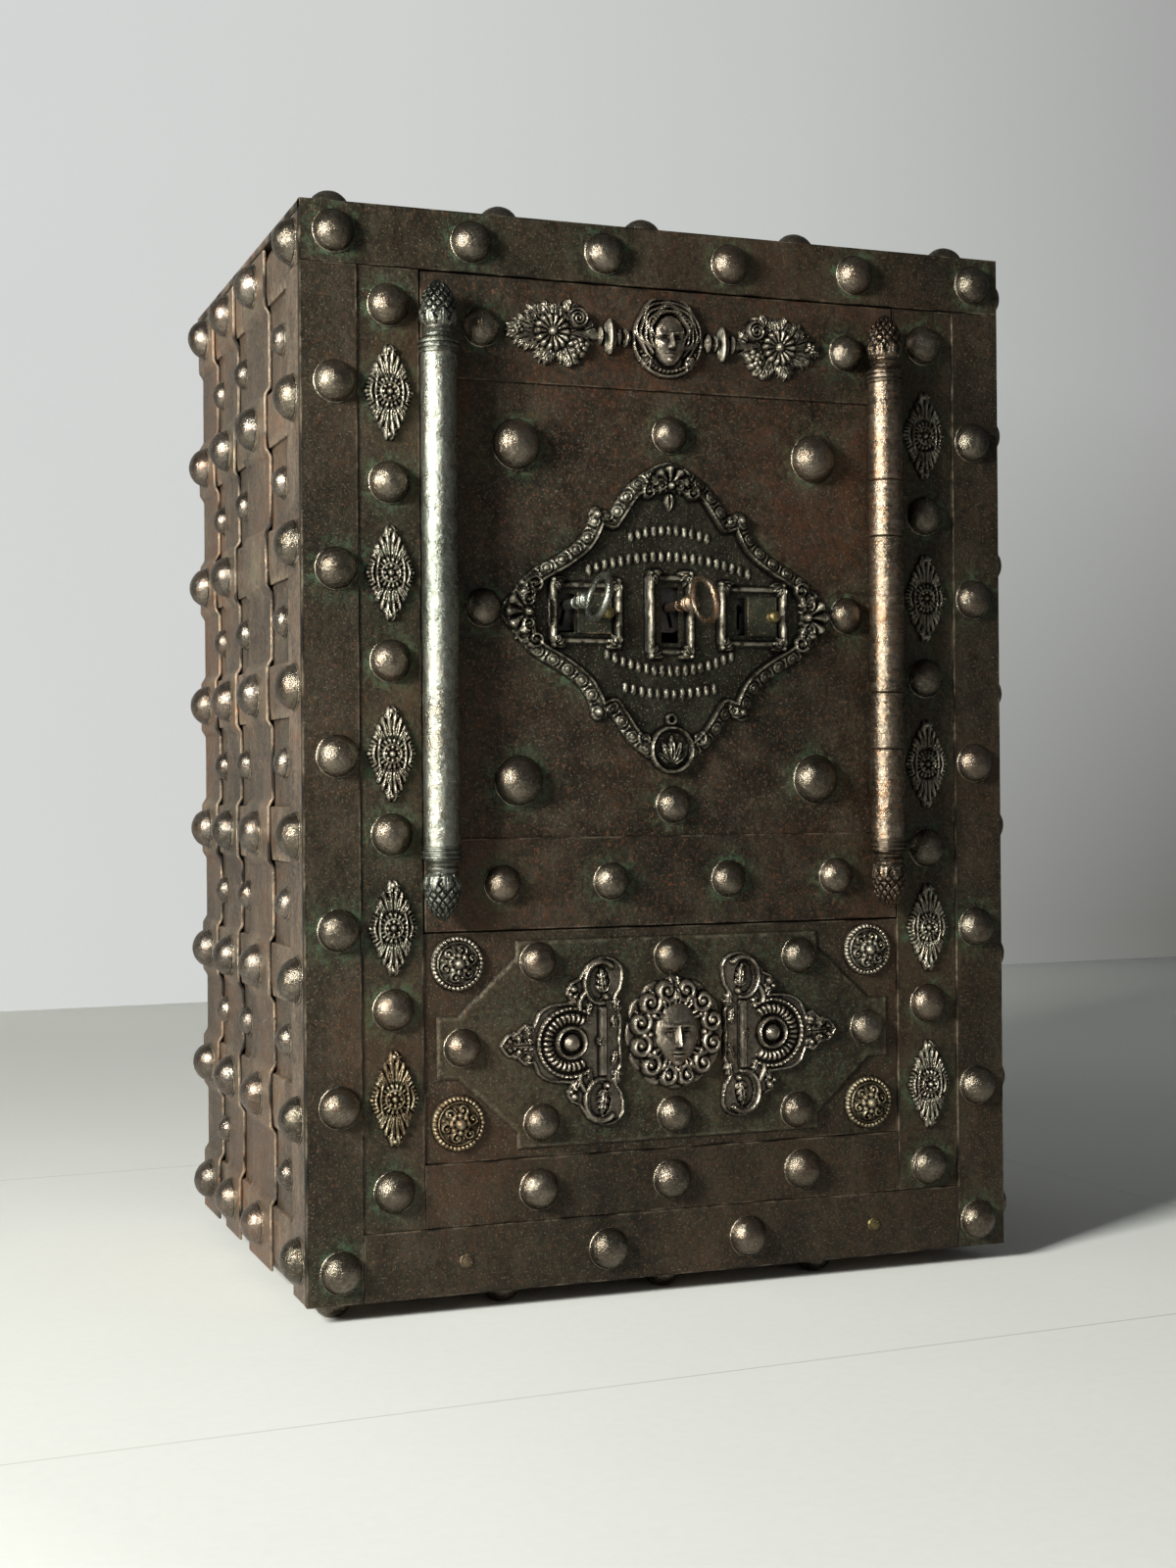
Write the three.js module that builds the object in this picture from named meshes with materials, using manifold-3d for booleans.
// Iron strongbox: an oak carcass clad in nailed iron, with a hinged front door, three locks and two keys.
// Millimetres, +Z up. The front faces -Y. The origin is under the middle foot, on the floor.

import * as THREE from 'three';
import { mergeVertices } from 'three/addons/utils/BufferGeometryUtils.js';
import Module from 'manifold-3d';

const wasm = await Module();
wasm.setup();

// Driving sizes of the case
const caseWidth = 685;
const caseDepth = 492;
const caseHeight = 950;
const seam = 0.3;
const overrun = 1.5;

// Iron layers of the sides and the back, from outside to inside
const strapThickness = 3;
const bandThickness = 4.5;
const sheetThickness = 3.5;
const bandHeight = 50;
const endBandHeight = 60;
const joggleRun = 7;
const bandFace = strapThickness + seam;
const sheetFace = bandFace + bandThickness;
const wallSkin = sheetFace + sheetThickness;

// Iron on the front, top and bottom
const frontSkin = 9;
const innerStep = 2;
const topThickness = 8;
const bottomThickness = 8;
const frontLegWidth = 50;
const sideLegWidth = 57;
const legNailShare = 0.54;
const topRailHeight = 53;
const topLegDepth = 60;
const bottomRailHeight = 59;
const leftStileWidth = 56;
const rightStileWidth = 63;

// Nail heads, as radius and height
const nailRadius = 18;
const nailRise = 16;
const bigNailRadius = 22;
const bigNailRise = 20;
const doorNailRadius = 16.5;
const doorNailRise = 15;
const wallNailRadius = 20;
const wallNailRise = 18;
const recessNailRadius = 14;
const recessNailRise = 12;
const footRadius = 18;
const footHeight = 17;
const footFlatRadius = 8;

// Door and its opening
const sillHeight = 317;
const doorGap = 1.3;
const doorSheetFace = 5;
const doorRailThickness = doorSheetFace - innerStep - seam;
const doorTopRailHeight = 92;
const doorLowerRailHeight = 81;
const oakLip = 12;
const frontOak = 50;
const coreClearance = 1;
const coreHingeInset = 14;
const swingClearance = 1;

// Cavity in the oak and what is in it
const backOak = 60;
const cavityFloor = 70;
const cavityHeadroom = 60;
const cavityReach = 12;
const shelfHeight = 590;
const shelfThickness = 18;
const shelfSetback = 14;
const ledgeSize = 14;

// Columns on the door
const columnRadius = 16;
const columnStandoff = 19;
const leftColumnInset = 11;
const hingeInset = 20;
const collarRadius = 18.5;
const finialRadius = 16.5;
const finialNeckRadius = 12.5;
const collarHeight = 11;
const neckHeight = 12;
const finialHeight = 42;
const columnTopDrop = 13;
const columnFootRise = 12;
const knuckleHeight = 52;
const knuckleGap = 0.6;
const hingePinRadius = 4.5;
const hingePinInset = 30;
const hingeBoreClearance = 0.3;
const padWidth = 14;
const padHeight = 24;
const armReach = 30;
const armThickness = 9;
const armHeight = 30;

// Cartouche and keyholes, about the middle of the cartouche
const cartoucheDrop = 1.5;
const cartoucheShift = 2;
const cartoucheWidthShare = 0.6738;
const cartoucheTallShare = 0.6825;
const cartoucheFieldThickness = 2;
const cartoucheBorderRise = 8;
const shellRadius = 22;
const shellRise = 9;
const frameRise = 7;
const frameBorder = 9;
const sideFrameOffsetShare = 0.26115;
const sideFrameWidth = 68;
const sideFrameHeight = 56;
const middleFrameWidth = 45;
const middleFrameHeight = 73;
const sideKeyholeHeight = 34;
const leftKeyholeWidth = 15;
const middleKeyholeWidth = 18;
const rightKeyholeWidth = 9.5;
const rightKeyholeInset = 18;
const middleKeyholeHeight = 52;
const lockWindowMargin = 6;

// Shutters
const shutterThickness = 2.5;
const shutterPlay = 0.6;
const shutterEdgeGap = 1.5;
const shutterKnobRadius = 5.5;
const shutterKnobReach = 12;
const shutterKnobNeck = 2.4;

// Keys
const keyShankRadius = 4.5;
const keyCollarRadius = 7.5;
const keyCollarLength = 12;
const keyCollarShares = [0.25, 0.75];
const keyReach = 52;
const keyInsertion = 24;
const keyBowLength = 54;
const keyBowHeight = 45;
const keyBowWire = 5;
const keyBitReach = 18;
const keyBitLength = 12;
const keyBitThickness = 3;
const keyClearance = 0.5;
const keyAxisRise = 7;
const keyTurnAtRest = THREE.MathUtils.degToRad(13.5);

// Lock works behind the door sheet
const lockCaseDepth = 48.5;
const lockCaseWall = 4;
const lockCaseMargin = 13;
const lockCaseSideMargin = 12.5;
const followerRadius = 23;
const followerLength = 28;
const followerStubRadius = 6;
const boltHeight = 22;
const boltThickness = 12;
const boltSpacing = 56;
const boltBackGap = 2;
const boltClearance = 0.4;
const socketClearance = 2;
const boltTipGap = 1.5;
const boltLengthShares = [0.36, 0.65, 0.82];
const lockCaseHeight = 2 * (boltSpacing + boltHeight / 2 + lockCaseMargin);

// Lower front
const lowerRailHeight = 56;
const lowerPanelFace = 4.5;
const octagonThickness = 2.2;
const octagonWidthShare = 0.9485;
const octagonHeightShare = 0.9122;

// Cast mounts
const lozengeWidth = 44;
const lozengeHeight = 90;
const lozengeRise = 5;
const bossRadius = 10;
const bossRise = 5;
const rosetteRadiusShare = 0.124;
const rosetteRise = 9;
const medallionRadiusShare = 0.2554;
const medallionRise = 7;
const maskWidthShare = 0.98;
const maskHeightShare = 1.32;
const maskRise = 16;
const scrollReachShare = 0.2602;
const scrollHeightShare = 0.8152;
const scrollRise = 6;
const mountGap = 2.3;
const sprayWidthShare = 0.1845;
const sprayStemShare = 0.0708;
const sprayHeight = 58;
const sprayRise = 6;
const spindleHeight = 12;
const spindleRise = 3;
const headMedallionRadius = 35;
const headWidth = 38;
const headHeight = 52;
const headRise = 22;

// Rows of the left side's first strap that have lost their nail, counted from the bottom
const lostStrapRows = [5];

// Counts and places, as shares of the size that carries them
const bandRowShares = [0.037, 0.166, 0.293, 0.425, 0.561, 0.692, 0.825, 0.967];
const sideStrapShares = [[0.309, 0.514], [0.608, 0.754], [0.831, 1]];
const backStrapShares = [[0, 0.13], [0.29, 0.42], [0.58, 0.71], [0.87, 1]];
const topRailNailShares = [0.043, 0.223, 0.406, 0.587, 0.774, 0.959];
const topLegNailShares = [0.048, 0.274, 0.477, 0.705, 0.94];
const topSheetRowShares = [0.2, 0.52, 0.84];
const leftAngleNailShares = [0.03, 0.179, 0.339, 0.497, 0.667, 0.836];
const rightAngleNailShares = [0.027, 0.163, 0.323, 0.489, 0.654, 0.813];
const leftStileNailShares = [0.099, 0.265, 0.425, 0.584, 0.747, 0.909];
const rightStileNailShares = [0.085, 0.248, 0.404, 0.574, 0.737, 0.908];
const leftLozengeShares = [0.184, 0.34, 0.499, 0.664, 0.829];
const rightLozengeShares = [0.167, 0.324, 0.488, 0.654, 0.817];
const bottomRailNailShares = [0.385, 0.621];
const lowerRailNailShares = [0.224, 0.499, 0.781];
const doorTopRailNailShares = [0.12, 0.892];
const doorLowerRailNailShares = [0.155, 0.376, 0.624, 0.86];
const doorBigNailShares = [[0.191, 0.864], [0.82, 0.864], [0.191, 0.125], [0.82, 0.125]];
const doorNailShares = [[0.508, 0.902], [0.51, 0.069], [0.123, 0.504], [0.892, 0.504]];
const octagonNailShares = [[-0.29, 0.4], [0, 0.4], [0.29, 0.38], [-0.45, 0], [0.45, 0],
  [-0.285, -0.38], [0.005, -0.38], [0.285, -0.4]];
const octagonCornerShares = [[0.335, 0.5], [0.335, 0.42], [0.458, 0.145], [0.5, 0.145]];
const rosetteInsetShares = [
  { side: -1, end: 1, across: 1.21, height: 1.07 },
  { side: 1, end: 1, across: 1.29, height: 1.11 },
  { side: -1, end: -1, across: 1.21, height: 1.39 },
  { side: 1, end: -1, across: 1.29, height: 1.19 },
];
const footColumnShares = [-2, -1, 0, 1, 2];
const footRowShares = [-1, 0, 1];
const footPitchShare = 0.227;
const footRowPitchShare = 0.42;
const cartoucheCurveShares = [[0.93, 0.1], [0.83, 0.23], [0.665, 0.345], [0.54, 0.45], [0.475, 0.56],
  [0.45, 0.66], [0.355, 0.61], [0.3, 0.7], [0.24, 0.8], [0.15, 0.9]];
const cartoucheBorderShare = 0.055;
const knuckleShares = [0.664, 0.322];
const finialShares = [[1, 0.22], [0.94, 0.5], [0.62, 0.82]];
const discRimShare = 0.9;
const rosetteStepShares = [[1, 0.33], [0.6, 0.6], [0.3, 1]];
const knobShares = [0.33, 0.67];
const lozengeOutlineShares = [[0, 0.5], [0.2, 0.27], [0.36, 0.18], [0.5, 0], [0.36, -0.18], [0.2, -0.27],
  [0, -0.5], [-0.2, -0.27], [-0.36, -0.18], [-0.5, 0], [-0.36, 0.18], [-0.2, 0.27]];
const scrollOutlineShares = [[0, 0.3], [0.1, 0.44], [0.2, 0.5], [0.3, 0.42], [0.3, 0.28], [0.52, 0.18],
  [0.7, 0.19], [0.82, 0.08], [1, 0], [0.82, -0.08], [0.7, -0.19], [0.52, -0.18], [0.3, -0.28],
  [0.3, -0.42], [0.2, -0.5], [0.1, -0.44], [0, -0.3]];
const sprayOutlineShares = [[-0.5, 0], [-0.3, 0.32], [-0.06, 0.48], [0.18, 0.46], [0.34, 0.24], [0.5, 0.12],
  [0.5, -0.12], [0.34, -0.24], [0.18, -0.46], [-0.06, -0.48], [-0.3, -0.32]];

// Facets
const nailSides = 8;
const wallNailSides = 7;
const recessNailSides = 6;
const columnSides = 12;
const shankSides = 8;
const bowSteps = 18;
const domeRings = 2;

// Places worked out from the sizes above, measured from the left edge, the front face and the case's bottom
const stileLeft = frontLegWidth;
const openingLeft = stileLeft + leftStileWidth;
const openingRight = caseWidth - frontLegWidth - rightStileWidth;
const openingWidth = openingRight - openingLeft;
const openingTop = caseHeight - topRailHeight;
const openingHeight = openingTop - sillHeight;
const wallTop = caseHeight - topThickness - seam;
const oakLeft = wallSkin + seam;
const oakFront = frontSkin + seam;
const oakBack = caseDepth - wallSkin - seam;
const oakBottom = bottomThickness + seam;
const cavityFront = oakFront + frontOak;
const cavityBack = oakBack - backOak;
const cavityLeft = openingLeft - cavityReach;
const cavityRight = openingRight + cavityReach;
const cavityTop = caseHeight - cavityHeadroom;
const jambLeft = openingLeft + oakLip;
const oakOpeningRight = openingRight + seam;
const oakOpeningBottom = sillHeight + oakLip;
const oakOpeningTop = openingTop - oakLip;
const hingeX = openingRight - hingeInset;
const columnX = openingLeft + leftColumnInset;
const doorLeft = openingLeft + doorGap;
const doorRight = openingRight - doorGap;
const doorBottom = sillHeight + doorGap;
const doorTop = openingTop - doorGap;
const doorRailFace = innerStep;
const doorFieldLow = doorBottom + doorLowerRailHeight;
const doorFieldHigh = doorTop - doorTopRailHeight;
const cartoucheX = openingLeft + openingWidth / 2 + cartoucheShift;
const cartoucheHeight = (doorFieldLow + doorFieldHigh) / 2 - cartoucheDrop;
const cartoucheWidth = cartoucheWidthShare * openingWidth;
const cartoucheTall = cartoucheTallShare * (doorFieldHigh - doorFieldLow);
const sideFrameOffset = sideFrameOffsetShare * cartoucheWidth;
const coreBack = oakFront + lockCaseDepth;
const followerFront = oakFront + keyClearance;
const boltBack = coreBack - lockCaseWall - boltBackGap;
const boltFront = boltBack - boltThickness;
const cartoucheFace = doorSheetFace - seam - cartoucheFieldThickness;
const cartoucheFrameFace = cartoucheFace - frameRise;

// The three locks: across place of the keyhole, keyhole size and lean of the key
const leftFrameX = cartoucheX - sideFrameOffset;
const rightFrameX = cartoucheX + sideFrameOffset;
const leftKeyX = leftFrameX - sideFrameWidth / 2 + frameBorder + leftKeyholeWidth / 2;
const rightKeyX = rightFrameX - sideFrameWidth / 2 + rightKeyholeInset + rightKeyholeWidth / 2;
const lockCaseWidth = 2 * (cartoucheX - leftKeyX + followerRadius + lockCaseSideMargin);
const lockCaseLeft = cartoucheX - lockCaseWidth / 2;
const locks = [
  { name: 'left', x: leftKeyX, width: leftKeyholeWidth, height: sideKeyholeHeight, lean: keyTurnAtRest },
  {
    name: 'middle',
    x: cartoucheX,
    width: middleKeyholeWidth,
    height: middleKeyholeHeight,
    lean: -keyTurnAtRest,
  },
  { name: 'right', x: rightKeyX, width: rightKeyholeWidth, height: sideKeyholeHeight, lean: 0 },
];
const keyAxisHeight = cartoucheHeight + keyAxisRise;
const boltHeights = [0, boltSpacing, -boltSpacing].map((rise) => cartoucheHeight + rise);
const boltTip = doorBevelAt(coreBack) + boltTipGap;

// The latch edge of the door core, set back so that it clears the jamb as the door swings
function doorBevelAt(depth) {
  const jambReach = hingeX - jambLeft - coreClearance;
  const across = Math.sqrt(jambReach ** 2 - (depth + columnStandoff) ** 2);
  return hingeX - across;
}

// Materials
function material(color, roughness, metalness) {
  return new THREE.MeshStandardMaterial({ color, roughness, metalness });
}
const darkIron = material(0x2f2620, 0.55, 0.7);
const wallIron = material(0x4a4038, 0.5, 0.7);
const doorIron = material(0x33241f, 0.55, 0.6);
const castIron = material(0x3a352e, 0.45, 0.8);
const brightSteel = material(0x7d857f, 0.35, 0.95);
const warmSteel = material(0x8a6f5c, 0.35, 0.95);
const brass = material(0x8a7440, 0.4, 0.9);
const oak = material(0x6b4a2f, 0.8, 0);
const lockIron = material(0x40403f, 0.5, 0.8);

// Solids: weld a geometry into a closed one that faces out
function closed(geometry) {
  const bare = geometry.clone();
  bare.deleteAttribute('normal');
  bare.deleteAttribute('uv');
  const welded = mergeVertices(bare);
  const points = welded.attributes.position;
  const corners = [new THREE.Vector3(), new THREE.Vector3(), new THREE.Vector3()];
  const kept = [];
  let volume = 0;
  for (let i = 0; i < welded.index.count; i += 3) {
    const triangle = [0, 1, 2].map((step) => welded.index.getX(i + step));
    if (new Set(triangle).size === triangle.length) {
      triangle.forEach((vertex, step) => corners[step].fromBufferAttribute(points, vertex));
      volume += corners[0].dot(corners[1].clone().cross(corners[2]));
      kept.push(triangle);
    }
  }
  const facing = volume < 0 ? kept.map(([a, b, c]) => [a, c, b]) : kept;
  welded.setIndex(facing.flat());
  return welded;
}

function solidOf(geometry) {
  const welded = closed(geometry);
  return new wasm.Manifold(new wasm.Mesh({
    numProp: 3,
    vertProperties: Float32Array.from(welded.attributes.position.array),
    triVerts: Uint32Array.from(welded.index.array),
  }));
}

function geometryOf(solid) {
  const mesh = solid.getMesh();
  const geometry = new THREE.BufferGeometry();
  geometry.setAttribute('position', new THREE.BufferAttribute(mesh.vertProperties.slice(), 3));
  geometry.setIndex(new THREE.BufferAttribute(mesh.triVerts.slice(), 1));
  geometry.computeVertexNormals();
  return geometry;
}

function join(...geometries) {
  return geometryOf(geometries.flat().map(solidOf).reduce((whole, solid) => whole.add(solid)));
}

function cut(geometry, ...tools) {
  const whole = solidOf(geometry);
  return geometryOf(tools.flat().map(solidOf).reduce((rest, tool) => rest.subtract(tool), whole));
}

function shapedBy(geometry, keep) {
  return geometryOf(solidOf(geometry).intersect(solidOf(keep)));
}

function meshOf(name, geometry, look) {
  const mesh = new THREE.Mesh(closed(geometry), look);
  mesh.geometry.computeVertexNormals();
  mesh.name = name;
  return mesh;
}

// Basic forms: a block between two corners, a turned form, and a flat outline given depth
function block(x0, x1, y0, y1, z0, z1) {
  const form = new THREE.BoxGeometry(x1 - x0, y1 - y0, z1 - z0);
  return form.translate((x0 + x1) / 2, (y0 + y1) / 2, (z0 + z1) / 2);
}

function turned(profile, sides) {
  const points = profile.map(([radius, along]) => new THREE.Vector2(radius, along));
  return closed(new THREE.LatheGeometry(points, sides));
}

function outline(points, holes = []) {
  const shape = new THREE.Shape(points.map(([x, z]) => new THREE.Vector2(x, z)));
  shape.holes = holes.map((hole) => new THREE.Path(hole.map(([x, z]) => new THREE.Vector2(x, z))));
  return shape;
}

function frontSlab(shape, near, far) {
  const form = new THREE.ExtrudeGeometry(shape, { depth: far - near, bevelEnabled: false });
  return form.rotateX(Math.PI / 2).translate(0, far, 0);
}

function ringPoints(width, height, steps) {
  return Array.from({ length: steps }, (unused, i) => {
    const angle = (i / steps) * Math.PI * 2;
    return [Math.cos(angle) * width / 2, Math.sin(angle) * height / 2];
  });
}

// A domed nail head that stands on a face and is rooted a little below it
function domeProfile(radius, rise, flat = 0) {
  const profile = [[0, -overrun], [radius, -overrun]];
  const flatAngle = Math.acos(flat / radius);
  for (let i = 0; i <= domeRings; i += 1) {
    const angle = flatAngle * (i / domeRings);
    profile.push([radius * Math.cos(angle), rise * Math.sin(angle) / Math.sin(flatAngle)]);
  }
  if (flat > 0) profile.push([0, rise]);
  else profile[profile.length - 1][0] = 0;
  return profile;
}

function frontDome(x, face, z, radius, rise, sides) {
  return turned(domeProfile(radius, rise), sides).rotateX(Math.PI).translate(x, face, z);
}

function topNail(x, y) {
  const dome = turned(domeProfile(nailRadius, nailRise), wallNailSides);
  return dome.rotateX(Math.PI / 2).translate(x, y, caseHeight);
}

function boss(x, face, z) {
  return frontDome(x, face, z, bossRadius, bossRise, wallNailSides);
}

function frontEllipsoid(x, face, z, width, height, rise) {
  const form = new THREE.SphereGeometry(1, nailSides, nailSides / 2);
  return form.scale(width / 2, rise, height / 2).translate(x, face, z);
}

// Side and back walls, built flat: x across the wall, y behind its outermost face, z from the case's bottom
function bandSpans() {
  return bandRowShares.map((share, row) => {
    const middle = share * caseHeight;
    if (row === 0) return [0, endBandHeight];
    if (row === bandRowShares.length - 1) return [caseHeight - endBandHeight, wallTop];
    return [middle - bandHeight / 2, middle + bandHeight / 2];
  });
}

function nailRows() {
  return bandRowShares.map((share) => share * caseHeight);
}

function recessRows() {
  const spans = bandSpans();
  return spans.slice(1).map((span, i) => (spans[i][1] + span[0]) / 2);
}

function wallSheet(sheetSpan, bandSpan, gaps) {
  const sheet = block(sheetSpan[0], sheetSpan[1], sheetFace, wallSkin, 0, wallTop);
  const bands = bandSpans().map(([low, high]) => (
    block(bandSpan[0], bandSpan[1], bandFace, sheetFace + overrun, low, high)
  ));
  const nails = gaps.flatMap(([from, to]) => recessRows().map((height) => (
    frontDome((from + to) / 2, sheetFace, height, recessNailRadius, recessNailRise, recessNailSides)
  )));
  return join(sheet, bands, nails);
}

function joggledStrap(from, to, lostRows = []) {
  const face = [];
  const low = sheetFace - seam - strapThickness;
  bandSpans().forEach(([bottom, top], row, all) => {
    if (row > 0) face.push([low, bottom - joggleRun]);
    face.push([0, bottom]);
    face.push([0, top]);
    if (row < all.length - 1) face.push([low, top + joggleRun]);
  });
  const back = face.map(([depth, height]) => [depth + strapThickness, height]).reverse();
  const section = outline([...face, ...back]);
  const form = new THREE.ExtrudeGeometry(section, { depth: to - from, bevelEnabled: false });
  const turn = new THREE.Matrix4().makeBasis(
    new THREE.Vector3(0, 1, 0),
    new THREE.Vector3(0, 0, 1),
    new THREE.Vector3(1, 0, 0),
  );
  form.applyMatrix4(turn).translate(from, 0, 0);
  const kept = nailRows().filter((height, row) => !lostRows.includes(row));
  const nails = kept.map((height) => (
    frontDome((from + to) / 2, 0, height, wallNailRadius, wallNailRise, wallNailSides)
  ));
  return join(form, nails);
}

function sideWall(side) {
  const wall = new THREE.Group();
  const fromFront = (share) => share * caseDepth;
  const place = ([from, to]) => (side === 'left' ? [caseDepth - to, caseDepth - from] : [from, to]);
  const straps = sideStrapShares.map(([from, to]) => [fromFront(from), fromFront(to)]);
  const gapStarts = [sideLegWidth, ...straps.map(([, to]) => to)];
  const gaps = straps.map(([from], i) => [gapStarts[i], from]);
  const sheet = wallSheet(
    place([oakFront, caseDepth]),
    place([sideLegWidth + seam, caseDepth]),
    gaps.map(place),
  );
  wall.add(meshOf(`${side}_side_sheet`, sheet, wallIron));
  straps.forEach((strap, i) => {
    const [from, to] = place(strap);
    const lostRows = side === 'left' && i === 0 ? lostStrapRows : [];
    wall.add(meshOf(`${side}_side_strap_${i + 1}`, joggledStrap(from, to, lostRows), wallIron));
  });
  if (side === 'left') {
    wall.rotation.z = -Math.PI / 2;
    wall.position.set(-caseWidth / 2, caseDepth / 2, footHeight);
  } else {
    wall.rotation.z = Math.PI / 2;
    wall.position.set(caseWidth / 2, -caseDepth / 2, footHeight);
  }
  return wall;
}

function backWall() {
  const wall = new THREE.Group();
  const length = caseWidth - 2 * (wallSkin + seam);
  const straps = backStrapShares.map(([from, to]) => [from * length, to * length]);
  const gaps = straps.slice(1).map(([from], i) => [straps[i][1], from]);
  wall.add(meshOf('back_sheet', wallSheet([0, length], [0, length], gaps), wallIron));
  straps.forEach(([from, to], i) => {
    wall.add(meshOf(`back_strap_${i + 1}`, joggledStrap(from, to), wallIron));
  });
  wall.rotation.z = Math.PI;
  wall.position.set(length / 2, caseDepth / 2, footHeight);
  return wall;
}

// Everything else is placed from the left edge, the front face and the case's bottom
const front = new THREE.Group();
front.position.set(-caseWidth / 2, -caseDepth / 2, footHeight);

function add(name, geometry, look) {
  front.add(meshOf(name, geometry, look));
}

function cornerAngle(side) {
  const nailShares = side === 'left' ? leftAngleNailShares : rightAngleNailShares;
  const sideX = (distance) => (side === 'left' ? distance : caseWidth - distance);
  const span = (a, b) => [Math.min(sideX(a), sideX(b)), Math.max(sideX(a), sideX(b))];
  const legTop = openingTop - seam;
  const legThickness = sheetFace - seam;
  const parts = [
    block(...span(0, frontLegWidth - seam), 0, frontSkin, 0, legTop),
    block(...span(0, legThickness), 0, sideLegWidth, 0, legTop),
    block(...span(0, legThickness), oakFront, sideLegWidth, legTop - overrun, wallTop),
  ];
  const nailX = caseWidth * topRailNailShares[0];
  nailShares.forEach((share) => {
    parts.push(frontDome(sideX(nailX), 0, share * caseHeight, nailRadius, nailRise, nailSides));
  });
  const turn = side === 'left' ? Math.PI / 2 : -Math.PI / 2;
  nailRows().forEach((height) => {
    const nail = turned(domeProfile(wallNailRadius, wallNailRise), wallNailSides).rotateZ(turn);
    parts.push(nail.translate(sideX(0), sideLegWidth * legNailShare, height));
  });
  return join(parts);
}

function topRail() {
  const parts = [
    block(0, caseWidth, 0, frontSkin, openingTop, caseHeight),
    block(0, caseWidth, 0, topLegDepth, caseHeight - topThickness, caseHeight),
  ];
  topRailNailShares.forEach((share) => {
    const height = (openingTop + caseHeight) / 2;
    parts.push(frontDome(share * caseWidth, 0, height, nailRadius, nailRise, nailSides));
  });
  topLegNailShares.forEach((share) => {
    parts.push(topNail(share * caseWidth, topLegDepth / 2));
  });
  return join(parts);
}

function topSheet() {
  const parts = [
    block(0, caseWidth, topLegDepth + seam, caseDepth, caseHeight - topThickness, caseHeight),
  ];
  topSheetRowShares.forEach((row) => {
    const depth = topLegDepth + row * (caseDepth - topLegDepth);
    topLegNailShares.forEach((share) => {
      parts.push(topNail(share * caseWidth, depth));
    });
  });
  return join(parts);
}

function bottomSheet() {
  const parts = [block(oakLeft, caseWidth - oakLeft, oakFront, oakBack, 0, bottomThickness)];
  const foot = turned(domeProfile(footRadius, footHeight, footFlatRadius), nailSides).rotateX(-Math.PI / 2);
  footColumnShares.forEach((column) => {
    footRowShares.forEach((row) => {
      const lost = column === Math.max(...footColumnShares) && row === Math.min(...footRowShares);
      if (lost) return;
      const x = caseWidth / 2 + column * footPitchShare * caseWidth;
      const y = caseDepth / 2 + row * footRowPitchShare * caseDepth;
      parts.push(foot.clone().translate(x, y, 0));
    });
  });
  return join(parts);
}

function innerStile(left, right, nailShares, lozengeShares) {
  const middle = (left + right) / 2;
  const parts = [block(left, right, innerStep, frontSkin, bottomRailHeight + seam, openingTop - seam)];
  nailShares.forEach((share) => {
    parts.push(frontDome(middle, innerStep, share * caseHeight, nailRadius, nailRise, nailSides));
  });
  lozengeShares.forEach((share) => {
    const height = share * caseHeight;
    const points = lozengeOutlineShares.map(([x, z]) => [
      middle + x * lozengeWidth,
      height + z * lozengeHeight,
    ]);
    parts.push(frontSlab(outline(points), innerStep - lozengeRise, innerStep + overrun));
    parts.push(boss(middle, innerStep - lozengeRise, height));
  });
  return join(parts);
}

function nailedPlate(left, right, face, back, low, high, nails) {
  return join(block(left, right, face, back, low, high), nails);
}

// Oak carcass: walls, the door opening, the swing relief and the shelf ledges
function carcass() {
  const hull = block(oakLeft, caseWidth - oakLeft, oakFront, oakBack, oakBottom, wallTop);
  const cavity = block(cavityLeft, cavityRight, cavityFront, cavityBack, cavityFloor, cavityTop);
  const doorway = block(
    cavityLeft,
    oakOpeningRight,
    oakFront - overrun,
    cavityFront + overrun,
    oakOpeningBottom,
    oakOpeningTop,
  );
  const swing = Math.hypot(doorRight - hingeX, frontSkin + columnStandoff);
  const swingAcross = Math.sqrt(swing ** 2 - (oakFront + columnStandoff) ** 2);
  const relief = block(
    hingeX - swingAcross - swingClearance,
    oakOpeningRight,
    oakFront - overrun,
    swing - columnStandoff + swingClearance,
    sillHeight - seam,
    openingTop + seam,
  );
  const hollow = cut(hull, cavity, doorway, relief);
  const ledges = [
    [cavityLeft - overrun, cavityLeft + ledgeSize],
    [cavityRight - ledgeSize, cavityRight + overrun],
  ].map(([from, to]) => (
    block(from, to, cavityFront + shelfSetback, cavityBack + overrun, shelfHeight - ledgeSize, shelfHeight)
  ));
  return join(hollow, ledges);
}

function boltHole(height, from, to, clearance) {
  return block(
    from,
    to,
    boltFront - clearance,
    boltBack + clearance,
    height - boltHeight / 2 - clearance,
    height + boltHeight / 2 + clearance,
  );
}

// The forged jamb on the latch side, with a socket for each bolt
function strikeBar() {
  const left = cavityLeft + seam;
  const low = oakOpeningBottom + seam;
  const high = oakOpeningTop - seam;
  const bar = block(left, jambLeft, oakFront, cavityFront, low, high);
  const sockets = boltHeights.map((height) => (
    boltHole(height, left - overrun, jambLeft + overrun, socketClearance)
  ));
  return cut(bar, sockets);
}

function shelf() {
  return block(
    cavityLeft + seam,
    cavityRight - seam,
    cavityFront + shelfSetback,
    cavityBack - seam,
    shelfHeight + seam,
    shelfHeight + seam + shelfThickness,
  );
}

// Door sheet, rails, oak core and lock works
function keyholes(near, far) {
  return locks.map(({ x, width, height }) => block(
    x - width / 2,
    x + width / 2,
    near,
    far,
    cartoucheHeight - height / 2,
    cartoucheHeight + height / 2,
  ));
}

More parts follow.
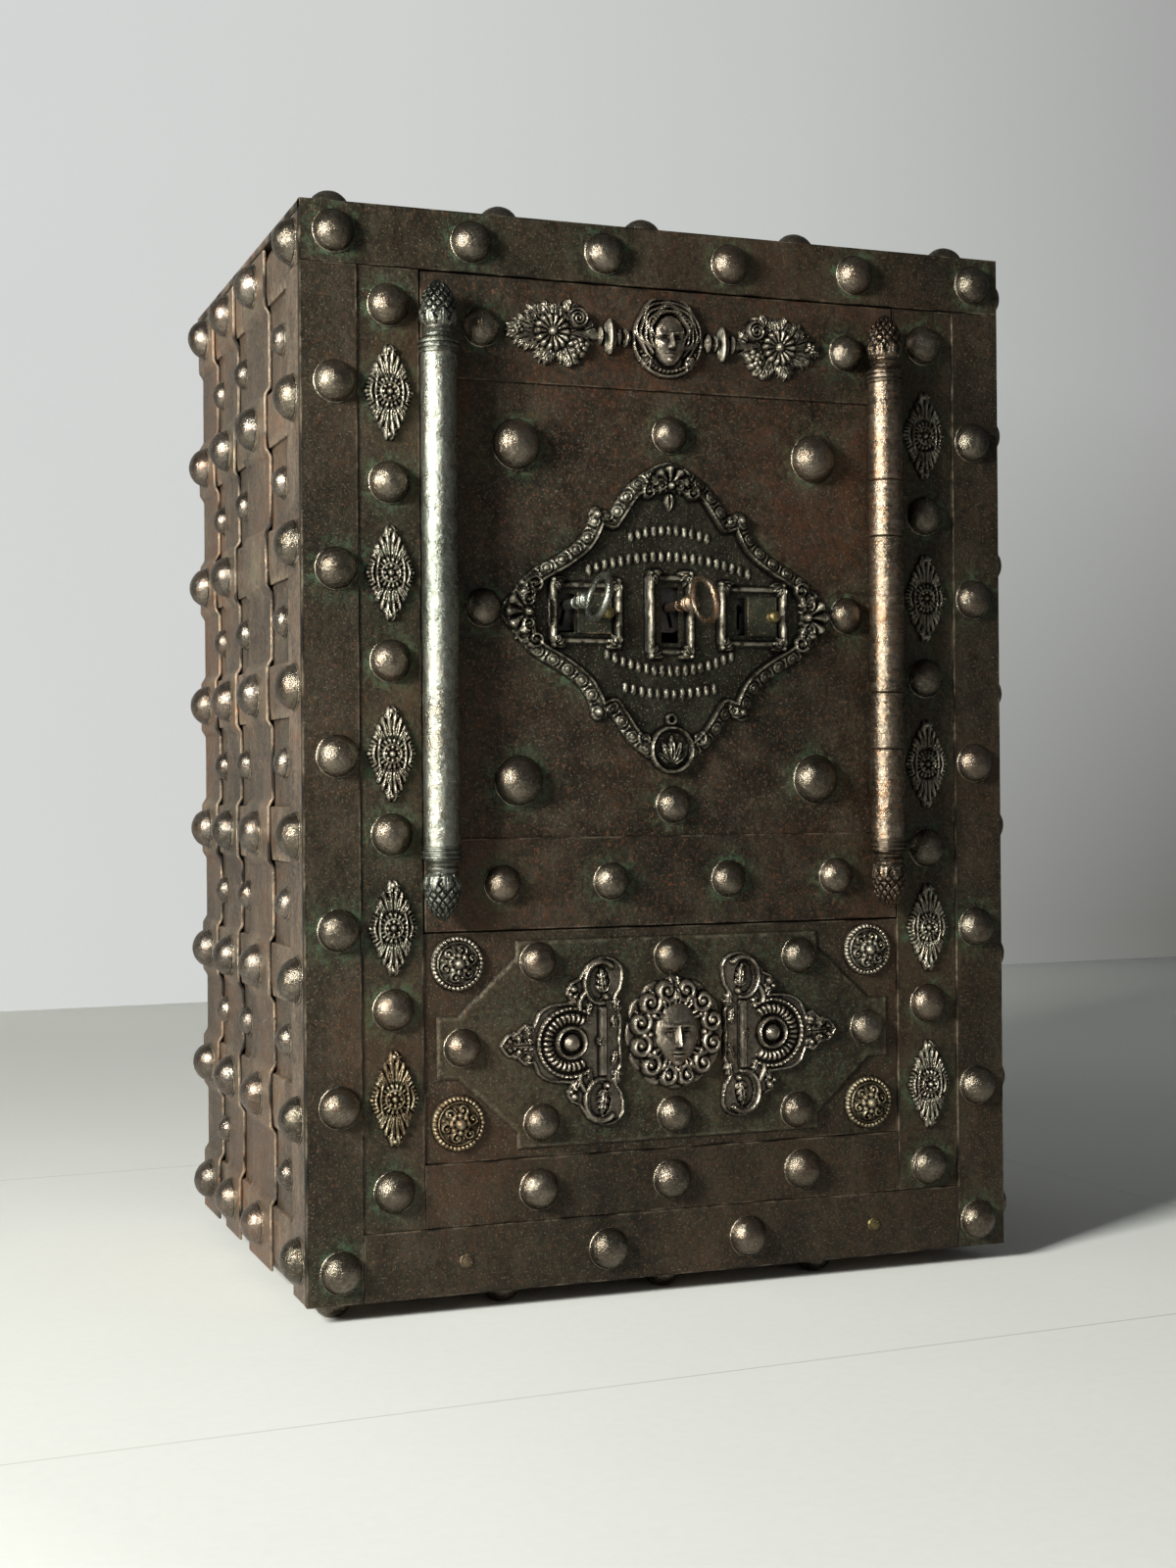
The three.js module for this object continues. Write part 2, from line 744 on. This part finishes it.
function doorSheet() {
  const nails = [];
  const fieldHeight = doorFieldHigh - doorFieldLow;
  doorBigNailShares.forEach(([x, z]) => {
    const across = openingLeft + x * openingWidth;
    const height = doorFieldLow + z * fieldHeight;
    nails.push(frontDome(across, doorSheetFace, height, bigNailRadius, bigNailRise, nailSides));
  });
  doorNailShares.forEach(([x, z]) => {
    const across = openingLeft + x * openingWidth;
    const height = doorFieldLow + z * fieldHeight;
    nails.push(frontDome(across, doorSheetFace, height, doorNailRadius, doorNailRise, nailSides));
  });
  const sheet = nailedPlate(doorLeft, doorRight, doorSheetFace, frontSkin, doorBottom, doorTop, nails);
  const window = block(
    leftKeyX - leftKeyholeWidth / 2 - lockWindowMargin,
    rightKeyX + rightKeyholeWidth / 2 + lockWindowMargin,
    doorSheetFace - overrun,
    frontSkin + overrun,
    cartoucheHeight - middleKeyholeHeight / 2,
    cartoucheHeight + middleKeyholeHeight / 2,
  );
  return cut(sheet, window);
}

function doorRail(low, high, nailShares) {
  const middle = (low + high) / 2;
  const nails = nailShares.map((share) => {
    const across = openingLeft + share * openingWidth;
    return frontDome(across, doorRailFace, middle, doorNailRadius, doorNailRise, nailSides);
  });
  return nailedPlate(doorLeft, doorRight, doorRailFace, doorRailFace + doorRailThickness, low, high, nails);
}

function doorCore() {
  const right = openingRight - coreHingeInset;
  const plan = [
    [doorBevelAt(oakFront), oakFront],
    [right, oakFront],
    [right, coreBack],
    [doorBevelAt(coreBack), coreBack],
  ].map(([x, y]) => new THREE.Vector2(x, y));
  const low = oakOpeningBottom + coreClearance;
  const high = oakOpeningTop - coreClearance;
  const slab = new THREE.ExtrudeGeometry(new THREE.Shape(plan), { depth: high - low, bevelEnabled: false });
  slab.translate(0, 0, low);
  const window = block(
    lockCaseLeft - seam,
    lockCaseLeft + lockCaseWidth + seam,
    oakFront - overrun,
    coreBack + overrun,
    cartoucheHeight - lockCaseHeight / 2 - seam,
    cartoucheHeight + lockCaseHeight / 2 + seam,
  );
  const channels = boltHeights.map((height) => (
    boltHole(height, jambLeft, lockCaseLeft + overrun, boltClearance)
  ));
  return cut(slab, window, channels);
}

function lockCase() {
  const low = cartoucheHeight - lockCaseHeight / 2;
  const high = cartoucheHeight + lockCaseHeight / 2;
  const right = lockCaseLeft + lockCaseWidth;
  const box = block(lockCaseLeft, right, oakFront, coreBack, low, high);
  const hollow = block(
    lockCaseLeft + lockCaseWall,
    right - lockCaseWall,
    oakFront - overrun,
    coreBack - lockCaseWall,
    low + lockCaseWall,
    high - lockCaseWall,
  );
  const slots = boltHeights.map((height) => (
    boltHole(height, lockCaseLeft - overrun, lockCaseLeft + lockCaseWall + overrun, boltClearance)
  ));
  const bore = turned(rodProfile(
    followerStubRadius + seam,
    coreBack - lockCaseWall - overrun,
    coreBack + overrun,
  ), columnSides);
  const bearings = locks.map(({ x }) => bore.clone().translate(x, 0, keyAxisHeight));
  return cut(box, hollow, slots, bearings);
}

function rodProfile(radius, from, to) {
  return [[0, from], [radius, from], [radius, to], [0, to]];
}

function keySlot(reach, width, shank, near, far) {
  const slot = block(-width / 2, width / 2, near, far, -reach, 0);
  return join(slot, turned(rodProfile(shank, near, far), columnSides));
}

function follower(lock) {
  const barrel = turned([
    [0, followerFront],
    [followerRadius, followerFront],
    [followerRadius, followerFront + followerLength],
    [followerStubRadius, followerFront + followerLength],
    [followerStubRadius, coreBack],
    [0, coreBack],
  ], columnSides);
  const slot = keySlot(
    keyBitReach + keyClearance,
    keyBitThickness + 2 * keyClearance,
    keyShankRadius + keyClearance,
    followerFront - overrun,
    frontSkin + keyInsertion + keyClearance,
  );
  const form = cut(barrel, slot);
  return form.rotateY(lock.lean).translate(lock.x, 0, keyAxisHeight);
}

function bolt(index) {
  const length = boltLengthShares[index] * lockCaseWidth;
  const height = boltHeights[index];
  return block(
    boltTip,
    boltTip + length,
    boltFront,
    boltBack,
    height - boltHeight / 2,
    height + boltHeight / 2,
  );
}

function key(lock) {
  const tip = frontSkin + keyInsertion;
  const collarStart = -keyReach;
  const shank = turned([
    [0, collarStart],
    [keyShankRadius, collarStart],
    [keyCollarRadius, collarStart + keyCollarLength * keyCollarShares[0]],
    [keyCollarRadius, collarStart + keyCollarLength * keyCollarShares[1]],
    [keyShankRadius, collarStart + keyCollarLength],
    [keyShankRadius, tip],
    [0, tip],
  ], shankSides);
  const bit = block(
    -keyBitThickness / 2,
    keyBitThickness / 2,
    tip - keyBitLength,
    tip,
    -keyBitReach,
    -keyShankRadius + overrun,
  );
  const rim = ringPoints(keyBowLength, keyBowHeight, bowSteps);
  const eye = ringPoints(keyBowLength - 2 * keyBowWire, keyBowHeight - 2 * keyBowWire, bowSteps);
  const bow = new THREE.ExtrudeGeometry(outline(rim, [eye]), { depth: keyBowWire, bevelEnabled: false });
  const turn = new THREE.Matrix4().makeBasis(
    new THREE.Vector3(0, 1, 0),
    new THREE.Vector3(0, 0, 1),
    new THREE.Vector3(1, 0, 0),
  );
  bow.applyMatrix4(turn).translate(-keyBowWire / 2, collarStart - keyBowLength / 2 + overrun, 0);
  return join(shank, bit, bow).rotateY(lock.lean).translate(lock.x, 0, keyAxisHeight);
}

// Cartouche: field, border band, shells at the four points and three keyhole frames
function cartoucheOutline(scale) {
  const quarter = cartoucheCurveShares.map(([x, z]) => [
    x * scale * cartoucheWidth / 2,
    z * scale * cartoucheTall / 2,
  ]);
  const back = [...quarter].reverse();
  const points = [
    ...quarter,
    ...back.map(([x, z]) => [-x, z]),
    ...quarter.map(([x, z]) => [-x, -z]),
    ...back.map(([x, z]) => [x, -z]),
  ];
  return points.map(([x, z]) => [cartoucheX + x, cartoucheHeight + z]);
}

function keyholeFrame(x, width, height) {
  const rim = block(
    x - width / 2,
    x + width / 2,
    cartoucheFrameFace,
    cartoucheFace + overrun,
    cartoucheHeight - height / 2,
    cartoucheHeight + height / 2,
  );
  const window = block(
    x - width / 2 + frameBorder,
    x + width / 2 - frameBorder,
    cartoucheFrameFace - overrun,
    cartoucheFace,
    cartoucheHeight - height / 2 + frameBorder,
    cartoucheHeight + height / 2 - frameBorder,
  );
  return cut(rim, window);
}

function cartouche() {
  const back = doorSheetFace - seam;
  const outer = cartoucheOutline(1 + cartoucheBorderShare);
  const inner = cartoucheOutline(1 - cartoucheBorderShare);
  const field = frontSlab(outline(outer), cartoucheFace, back);
  const border = frontSlab(outline(outer, [inner]), doorSheetFace - cartoucheBorderRise, back);
  const shells = [
    [cartoucheWidth / 2 - shellRadius, 0],
    [shellRadius - cartoucheWidth / 2, 0],
    [0, cartoucheTall / 2 - shellRadius],
    [0, shellRadius - cartoucheTall / 2],
  ].map(([x, z]) => (
    frontDome(cartoucheX + x, cartoucheFace, cartoucheHeight + z, shellRadius, shellRise, nailSides)
  ));
  const frames = [
    keyholeFrame(leftFrameX, sideFrameWidth, sideFrameHeight),
    keyholeFrame(cartoucheX, middleFrameWidth, middleFrameHeight),
    keyholeFrame(rightFrameX, sideFrameWidth, sideFrameHeight),
  ];
  return cut(join(field, border, shells, frames), keyholes(cartoucheFace - overrun, back + overrun));
}

function shutter(from, to) {
  const face = cartoucheFace - seam;
  const halfHeight = sideFrameHeight / 2 - frameBorder - shutterPlay;
  const plate = block(
    from,
    to,
    face - shutterThickness,
    face,
    cartoucheHeight - halfHeight,
    cartoucheHeight + halfHeight,
  );
  const knobX = to - shutterKnobRadius - shutterPlay;
  const knob = turned([
    [0, -overrun],
    [shutterKnobNeck, -overrun],
    [shutterKnobNeck, shutterKnobReach * knobShares[0]],
    [shutterKnobRadius, shutterKnobReach * knobShares[1]],
    [shutterKnobNeck, shutterKnobReach],
    [0, shutterKnobReach],
  ], wallNailSides).rotateX(Math.PI).translate(knobX, face - shutterThickness, cartoucheHeight);
  return join(plate, knob);
}

// Columns and hinge barrels, turned about an upright axis
function finialRise(base, direction) {
  const neck = base + direction * neckHeight;
  const top = neck + direction * finialHeight;
  const at = (share) => neck + share * (top - neck);
  return [
    [columnRadius, base],
    [finialNeckRadius, base + direction * neckHeight / 2],
    [finialNeckRadius, neck],
    ...finialShares.map(([girth, share]) => [finialRadius * girth, at(share)]),
    [0, top],
  ];
}

function collarRing(base, direction) {
  return [
    [columnRadius, base],
    [collarRadius, base],
    [collarRadius, base + direction * collarHeight],
    [columnRadius, base + direction * collarHeight],
  ];
}

function upright(profile, x) {
  return turned(profile, columnSides).rotateX(Math.PI / 2).translate(x, -columnStandoff, 0);
}

function pad(x, face, height) {
  return block(
    x - padWidth / 2,
    x + padWidth / 2,
    -columnStandoff,
    face - seam,
    height - padHeight / 2,
    height + padHeight / 2,
  );
}

const columnTop = openingTop - columnTopDrop;
const columnBottom = sillHeight + columnFootRise;
const endPiece = finialHeight + neckHeight;
const upperCollar = columnTop - endPiece;
const lowerCollar = columnBottom + endPiece;
const topPadHeight = upperCollar - collarHeight - padHeight / 2;
const bottomPadHeight = lowerCollar - collarHeight / 2;

function leftColumn() {
  const profile = [
    ...finialRise(lowerCollar, -1).reverse(),
    ...collarRing(lowerCollar, 1).slice(1),
    ...collarRing(upperCollar, -1).reverse().slice(0, -1),
    ...finialRise(upperCollar, 1),
  ];
  return join(
    upright(profile, columnX),
    pad(columnX, doorRailFace, topPadHeight),
    pad(columnX, doorRailFace, bottomPadHeight),
  );
}

const knuckleMiddles = knuckleShares.map((share) => sillHeight + openingHeight * share);
const boreRadius = hingePinRadius + hingeBoreClearance;

function boredTube(low, high) {
  return [
    [boreRadius, low],
    [columnRadius, low],
    [columnRadius, high],
    [boreRadius, high],
    [boreRadius, low],
  ];
}

function hingeUpper() {
  const low = knuckleMiddles[0] + knuckleHeight / 2 + knuckleGap;
  const boreEnd = upperCollar;
  const profile = [
    [0, boreEnd],
    [boreRadius, boreEnd],
    [boreRadius, low],
    [columnRadius, low],
    ...collarRing(upperCollar, -1).reverse().slice(0, -1),
    ...finialRise(upperCollar, 1),
  ];
  return join(
    upright(profile, hingeX),
    boredPad(doorRailFace, topPadHeight),
    boredPad(doorSheetFace, low + padHeight),
  );
}

function hingeMiddle() {
  const low = knuckleMiddles[1] + knuckleHeight / 2 + knuckleGap;
  const high = knuckleMiddles[0] - knuckleHeight / 2 - knuckleGap;
  return join(
    upright(boredTube(low, high), hingeX),
    boredPad(doorSheetFace, low + padHeight),
    boredPad(doorSheetFace, high - padHeight),
  );
}

function hingeLower() {
  const high = knuckleMiddles[1] - knuckleHeight / 2 - knuckleGap;
  const boreEnd = lowerCollar;
  const profile = [
    ...finialRise(lowerCollar, -1).reverse(),
    ...collarRing(lowerCollar, 1).slice(1),
    [columnRadius, high],
    [boreRadius, high],
    [boreRadius, boreEnd],
    [0, boreEnd],
  ];
  return join(
    upright(profile, hingeX),
    boredPad(doorRailFace, bottomPadHeight),
    boredPad(doorSheetFace, high - padHeight),
  );
}

// A pad that starts behind the bore, so that the pin's hole stays open
function boredPad(face, height) {
  return block(
    hingeX - padWidth / 2,
    hingeX + padWidth / 2,
    boreRadius + overrun - columnStandoff,
    face - seam,
    height - padHeight / 2,
    height + padHeight / 2,
  );
}

function frameKnuckle(middle) {
  const low = middle - knuckleHeight / 2;
  const high = middle + knuckleHeight / 2;
  const arm = block(
    hingeX + boreRadius + overrun,
    hingeX + armReach,
    innerStep - seam - armThickness,
    innerStep - seam,
    middle - armHeight / 2,
    middle + armHeight / 2,
  );
  return join(upright(boredTube(low, high), hingeX), arm);
}

function hingePin() {
  const profile = rodProfile(hingePinRadius, lowerCollar + hingePinInset, upperCollar - hingePinInset);
  return upright(profile, hingeX);
}

// Lower front: the rails, the octagonal plate and the cast mounts on it
const lowerLow = bottomRailHeight + lowerRailHeight;
const lowerHigh = sillHeight - seam;
const lowerMiddle = (lowerLow + lowerHigh) / 2;
const lowerMiddleX = openingLeft + openingWidth / 2;
const octagonWidth = octagonWidthShare * openingWidth;
const octagonHeight = octagonHeightShare * (lowerHigh - lowerLow);
const rosetteRadius = rosetteRadiusShare * (lowerHigh - lowerLow);
const medallionRadius = medallionRadiusShare * octagonHeight;
const octagonFace = lowerPanelFace - seam - octagonThickness;

function bottomRail() {
  const right = caseWidth - stileLeft;
  const nails = bottomRailNailShares.map((share) => {
    const across = stileLeft + share * (right - stileLeft);
    return frontDome(across, 0, bottomRailHeight / 2, nailRadius, nailRise, nailSides);
  });
  return nailedPlate(stileLeft, right, 0, frontSkin, 0, bottomRailHeight, nails);
}

function lowerRail() {
  const low = bottomRailHeight + seam;
  const nails = lowerRailNailShares.map((share) => {
    const across = openingLeft + share * openingWidth;
    return frontDome(across, innerStep, (low + lowerLow) / 2, nailRadius, nailRise, nailSides);
  });
  return nailedPlate(openingLeft, openingRight, innerStep, frontSkin, low, lowerLow - seam, nails);
}

function octagonPlate() {
  const quarter = octagonCornerShares.map(([x, z]) => [x * octagonWidth, z * octagonHeight]);
  const back = [...quarter].reverse();
  const points = [
    ...quarter,
    ...back.map(([x, z]) => [x, -z]),
    ...quarter.map(([x, z]) => [-x, -z]),
    ...back.map(([x, z]) => [-x, z]),
  ].map(([x, z]) => [lowerMiddleX + x, lowerMiddle + z]);
  const nails = octagonNailShares.map(([x, z]) => frontDome(
    lowerMiddleX + x * octagonWidth,
    octagonFace,
    lowerMiddle + z * octagonHeight,
    doorNailRadius,
    doorNailRise,
    nailSides,
  ));
  return join(frontSlab(outline(points), octagonFace, lowerPanelFace - seam), nails);
}

function maskMedallion() {
  const face = octagonFace - seam;
  const disc = turned([
    [0, 0],
    [medallionRadius, 0],
    [medallionRadius * discRimShare, medallionRise],
    [0, medallionRise],
  ], columnSides).rotateX(Math.PI).translate(lowerMiddleX, face, lowerMiddle);
  const raised = face - medallionRise;
  const head = frontEllipsoid(
    lowerMiddleX,
    raised,
    lowerMiddle,
    maskWidthShare * medallionRadius,
    maskHeightShare * medallionRadius,
    maskRise,
  );
  const ahead = block(
    lowerMiddleX - medallionRadius,
    lowerMiddleX + medallionRadius,
    raised - maskRise,
    raised + overrun,
    lowerMiddle - medallionRadius,
    lowerMiddle + medallionRadius,
  );
  return join(disc, shapedBy(head, ahead));
}

function scrollMount(direction) {
  const face = octagonFace - seam;
  const start = lowerMiddleX + direction * (medallionRadius + mountGap);
  const scrollReach = scrollReachShare * octagonWidth;
  const scrollHeight = scrollHeightShare * octagonHeight;
  const points = scrollOutlineShares.map(([x, z]) => [
    start + direction * x * scrollReach,
    lowerMiddle + z * scrollHeight,
  ]);
  const bossX = start + direction * scrollReach / 2;
  const plate = frontSlab(outline(points), face - scrollRise, face);
  return join(plate, boss(bossX, face - scrollRise, lowerMiddle));
}

function rosette(inset) {
  const form = turned([
    [0, 0],
    [rosetteRadius, 0],
    ...rosetteStepShares.map(([girth, rise]) => [rosetteRadius * girth, rosetteRise * rise]),
    [0, rosetteRise],
  ], columnSides);
  const across = lowerMiddleX + inset.side * (openingWidth / 2 - inset.across * rosetteRadius);
  const height = lowerMiddle + inset.end * ((lowerHigh - lowerLow) / 2 - inset.height * rosetteRadius);
  return form.rotateX(Math.PI).translate(across, lowerPanelFace - seam, height);
}

// Top of the door: head medallion and floral sprays
const headHeightOnDoor = doorTop - doorTopRailHeight / 2;

function headMedallion() {
  const face = doorRailFace - seam;
  const disc = turned([
    [0, 0],
    [headMedallionRadius, 0],
    [headMedallionRadius * discRimShare, medallionRise],
    [0, medallionRise],
  ], columnSides).rotateX(Math.PI).translate(lowerMiddleX, face, headHeightOnDoor);
  const raised = face - medallionRise;
  const head = frontEllipsoid(lowerMiddleX, raised, headHeightOnDoor, headWidth, headHeight, headRise);
  const ahead = block(
    lowerMiddleX - headMedallionRadius,
    lowerMiddleX + headMedallionRadius,
    raised - headRise,
    raised + overrun,
    headHeightOnDoor - headMedallionRadius,
    headHeightOnDoor + headMedallionRadius,
  );
  return join(disc, shapedBy(head, ahead));
}

function spray(direction) {
  const face = doorRailFace - seam;
  const inner = headMedallionRadius + mountGap;
  const sprayWidth = sprayWidthShare * openingWidth;
  const sprayStemLength = sprayStemShare * openingWidth;
  const middle = lowerMiddleX + direction * (inner + sprayStemLength + sprayWidth / 2);
  const points = sprayOutlineShares.map(([x, z]) => [
    middle - direction * x * sprayWidth,
    headHeightOnDoor + z * sprayHeight,
  ]);
  const leaf = frontSlab(outline(points), face - sprayRise, face);
  const near = lowerMiddleX + direction * inner;
  const far = near + direction * (sprayStemLength + sprayWidth / 2);
  const spindle = block(
    Math.min(near, far),
    Math.max(near, far),
    face - spindleRise,
    face,
    headHeightOnDoor - spindleHeight / 2,
    headHeightOnDoor + spindleHeight / 2,
  );
  return join(leaf, spindle, boss(middle, face - sprayRise, headHeightOnDoor));
}

// Assembly
const strongbox = new THREE.Group();
strongbox.add(front, sideWall('left'), sideWall('right'), backWall());

add('oak_carcass', carcass(), oak);
add('shelf', shelf(), oak);
add('strike_bar', strikeBar(), lockIron);
add('left_corner_angle', cornerAngle('left'), darkIron);
add('right_corner_angle', cornerAngle('right'), darkIron);
add('top_rail', topRail(), darkIron);
add('top_sheet', topSheet(), wallIron);
add('bottom_sheet', bottomSheet(), wallIron);
add('bottom_rail', bottomRail(), darkIron);
add('left_inner_stile', innerStile(
  stileLeft,
  openingLeft - seam,
  leftStileNailShares,
  leftLozengeShares,
), darkIron);
add('right_inner_stile', innerStile(
  openingRight + seam,
  caseWidth - stileLeft,
  rightStileNailShares,
  rightLozengeShares,
), darkIron);
add('lower_rail', lowerRail(), darkIron);
add('lower_panel', block(
  openingLeft,
  openingRight,
  lowerPanelFace,
  frontSkin,
  lowerLow,
  lowerHigh,
), darkIron);
add('octagonal_plate', octagonPlate(), darkIron);
add('mask_medallion', maskMedallion(), castIron);
add('left_scroll_mount', scrollMount(-1), castIron);
add('right_scroll_mount', scrollMount(1), castIron);
rosetteInsetShares.forEach((inset, i) => add(`rosette_${i + 1}`, rosette(inset), castIron));
add('upper_frame_knuckle', frameKnuckle(knuckleMiddles[0]), warmSteel);
add('lower_frame_knuckle', frameKnuckle(knuckleMiddles[1]), warmSteel);
add('hinge_pin', hingePin(), lockIron);

add('door_core', doorCore(), oak);
add('door_sheet', doorSheet(), doorIron);
add('door_top_rail', doorRail(doorFieldHigh, doorTop, doorTopRailNailShares), doorIron);
add('door_lower_rail', doorRail(doorBottom, doorFieldLow, doorLowerRailNailShares), doorIron);
add('cartouche', cartouche(), castIron);
add('head_medallion', headMedallion(), castIron);
add('left_spray', spray(-1), castIron);
add('right_spray', spray(1), castIron);
add('left_column', leftColumn(), brightSteel);
add('hinge_barrel_upper', hingeUpper(), warmSteel);
add('hinge_barrel_middle', hingeMiddle(), warmSteel);
add('hinge_barrel_lower', hingeLower(), warmSteel);
add('lock_case', lockCase(), lockIron);
locks.forEach((lock, i) => {
  add(`${lock.name}_lock_follower`, follower(lock), lockIron);
  add(`${lock.name}_lock_bolt`, bolt(i), lockIron);
});
add('left_key', key(locks[0]), brightSteel);
add('middle_key', key(locks[1]), warmSteel);
add('left_shutter', shutter(
  leftKeyX + leftKeyholeWidth / 2 + shutterEdgeGap,
  leftFrameX + sideFrameWidth / 2 - frameBorder - shutterPlay,
), brass);
add('right_shutter', shutter(
  rightKeyX + rightKeyholeWidth / 2 + shutterEdgeGap,
  rightFrameX + sideFrameWidth / 2 - frameBorder - shutterPlay,
), brass);

export default strongbox;
